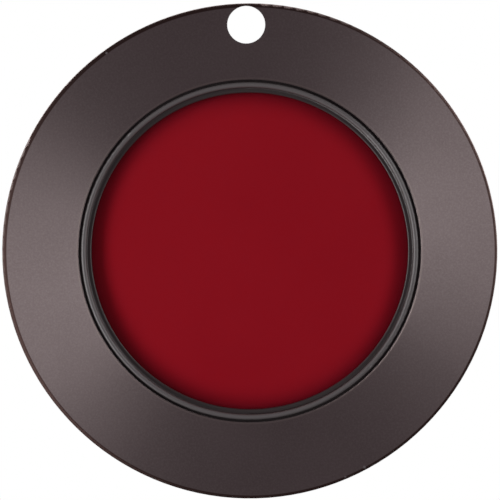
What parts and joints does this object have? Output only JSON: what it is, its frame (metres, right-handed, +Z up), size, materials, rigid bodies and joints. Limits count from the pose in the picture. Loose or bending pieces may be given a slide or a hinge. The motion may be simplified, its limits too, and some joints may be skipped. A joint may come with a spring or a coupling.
{
  "type": "darkroom safelight",
  "caption": "Round wall-hung darkroom safelight: dark front plate with a hanging hole, recessed deep red filter held by a rubber ring, and a drum housing with lamp, switch and cable gland.",
  "frame": {"origin": "centre of the hanging hole, at mid thickness of the front plate", "axes": "+Z up as hung, -Y out of the front towards the viewer, +Y towards the wall, +X to the right as the lamp is faced"},
  "size_m": [0.2032, 0.0702, 0.2031],
  "materials": {
    "plate_anodised": "fine concentric turning, dark anodised, satin",
    "cell_anodised": "turned, dark anodised, satin",
    "ring_rubber": "smooth moulded rubber, soft sheen",
    "filter_red_glass": "polished, deep red",
    "gelatin_red": "dyed gelatin film, deep red",
    "binding_tape": "black binding tape, matt",
    "opal_glass": "flashed opal, satin",
    "gasket_rubber": "soft black rubber",
    "drum_enamel": "black stoved enamel, fine wrinkle",
    "cover_enamel": "black stoved enamel, fine wrinkle",
    "black_steel": "blackened steel",
    "zinc_steel": "zinc plated",
    "aluminium_bare": "bare, turned",
    "bumper_rubber": "moulded rubber, matt",
    "white_enamel": "white stoved enamel, gloss",
    "brass_bare": "bare brass",
    "chassis_zinc": "zinc plated sheet",
    "porcelain": "white glazed porcelain",
    "bulb_clear_glass": "clear blown glass",
    "bulb_cap_metal": "nickel plated brass",
    "vitrite_black": "black glass insulator",
    "solder": "dull solder",
    "tungsten": "tungsten wire",
    "terminal_nylon": "natural moulded nylon",
    "lead_brown": "brown insulated lead",
    "lead_black": "black insulated lead",
    "lead_blue": "blue insulated lead",
    "lead_green_yellow": "green and yellow insulated lead",
    "gland_nylon": "black moulded nylon",
    "switch_black": "black moulded plastic",
    "rocker_black": "polished black plastic"
  },
  "bodies": {
    "housing": {"front_plate": "plate_anodised", "filter_cell": "cell_anodised", "cell_screws": "zinc_steel", "seat_gasket": "gasket_rubber", "housing_drum": "drum_enamel", "drum_screws": "black_steel", "rear_cover": "cover_enamel", "cover_screws": "black_steel", "clamp_ring": "chassis_zinc", "clinch_nuts": "zinc_steel", "vent_cap": "cover_enamel", "vent_spacers": "aluminium_bare", "vent_screws": "black_steel", "vent_nuts": "zinc_steel", "wall_bumpers": "bumper_rubber", "bumper_rivets": "aluminium_bare", "reflector": "white_enamel", "reflector_pillars": "brass_bare", "reflector_screws": "zinc_steel", "chassis": "chassis_zinc", "chassis_screws": "black_steel", "chassis_nuts": "zinc_steel", "lampholder_body": "porcelain", "lampholder_shell": "brass_bare", "lampholder_contact": "brass_bare", "lampholder_screws": "zinc_steel", "terminal_block": "terminal_nylon", "terminal_inserts": "brass_bare", "terminal_screws": "zinc_steel", "lead_live": "lead_brown", "lead_switched": "lead_black", "lead_neutral": "lead_blue", "lead_earth": "lead_green_yellow", "earth_tag": "brass_bare", "earth_screw": "zinc_steel", "gland_body": "gland_nylon", "gland_washer": "gasket_rubber", "gland_locknut": "gland_nylon", "gland_seal": "gasket_rubber", "gland_cap": "gland_nylon", "switch_body": "switch_black", "switch_terminals": "brass_bare"},
    "diffuser": {"opal_diffuser": "opal_glass"},
    "filter": {"filter_front_glass": "filter_red_glass", "filter_gelatin": "gelatin_red", "filter_rear_glass": "filter_red_glass", "filter_binding": "binding_tape"},
    "ring": {"retaining_ring": "ring_rubber"},
    "bulb": {"bulb_glass": "bulb_clear_glass", "bulb_cap": "bulb_cap_metal", "bulb_insulator": "vitrite_black", "bulb_contact": "solder", "bulb_stem": "bulb_clear_glass", "bulb_filament": "tungsten"},
    "rocker": {"switch_rocker": "rocker_black"}
  },
  "joints": [
    {"name": "diffuser_slide", "type": "slide", "parent": "housing", "child": "diffuser", "axis": [0, -1, 0], "range_m": [0, 0.02]},
    {"name": "filter_slide", "type": "slide", "parent": "diffuser", "child": "filter", "axis": [0, -1, 0], "range_m": [0, 0.02]},
    {"name": "ring_slide", "type": "slide", "parent": "filter", "child": "ring", "axis": [0, -1, 0], "range_m": [0, 0.02]},
    {"name": "bulb_turn", "type": "hinge", "parent": "housing", "child": "bulb", "pos_m": [0, 0.0335, -0.09285], "axis": [0, 0, 1], "range_deg": [0, 900]},
    {"name": "rocker_tilt", "type": "hinge", "parent": "housing", "child": "rocker", "pos_m": [0.05473, 0.031, -0.14758], "axis": [0.7071, 0, 0.7071], "range_deg": [0, 14]}
  ]
}
